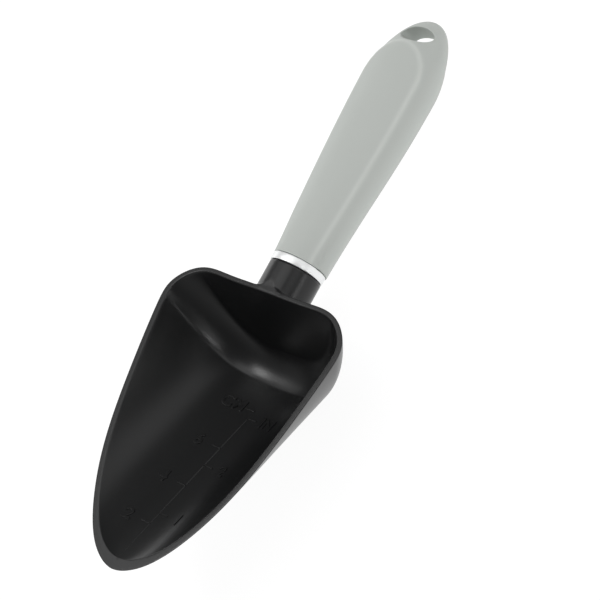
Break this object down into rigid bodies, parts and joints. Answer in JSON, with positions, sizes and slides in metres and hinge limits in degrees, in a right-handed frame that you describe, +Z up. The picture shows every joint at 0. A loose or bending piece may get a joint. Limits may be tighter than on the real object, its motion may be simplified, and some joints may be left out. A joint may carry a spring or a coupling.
{
  "type": "hand scoop trowel",
  "caption": "Short-handled hand scoop: pointed deep shell with a flat rim, round neck, bright ring and an oval handle with a hang hole.",
  "frame": {"origin": "bottom centre of the whole tool as it lies on a table, open side up", "axes": "+X to the right across the tool, +Y along the tool from the tip to the handle's end, +Z up"},
  "size_m": [0.0868, 0.2336, 0.0451],
  "materials": {
    "black_plastic": "satin moulded",
    "bright_metal": "satin bright",
    "grey_plastic": "satin moulded"
  },
  "bodies": {
    "root": {"scoop": "black_plastic", "ferrule_ring": "bright_metal", "handle": "grey_plastic"}
  },
  "joints": []
}
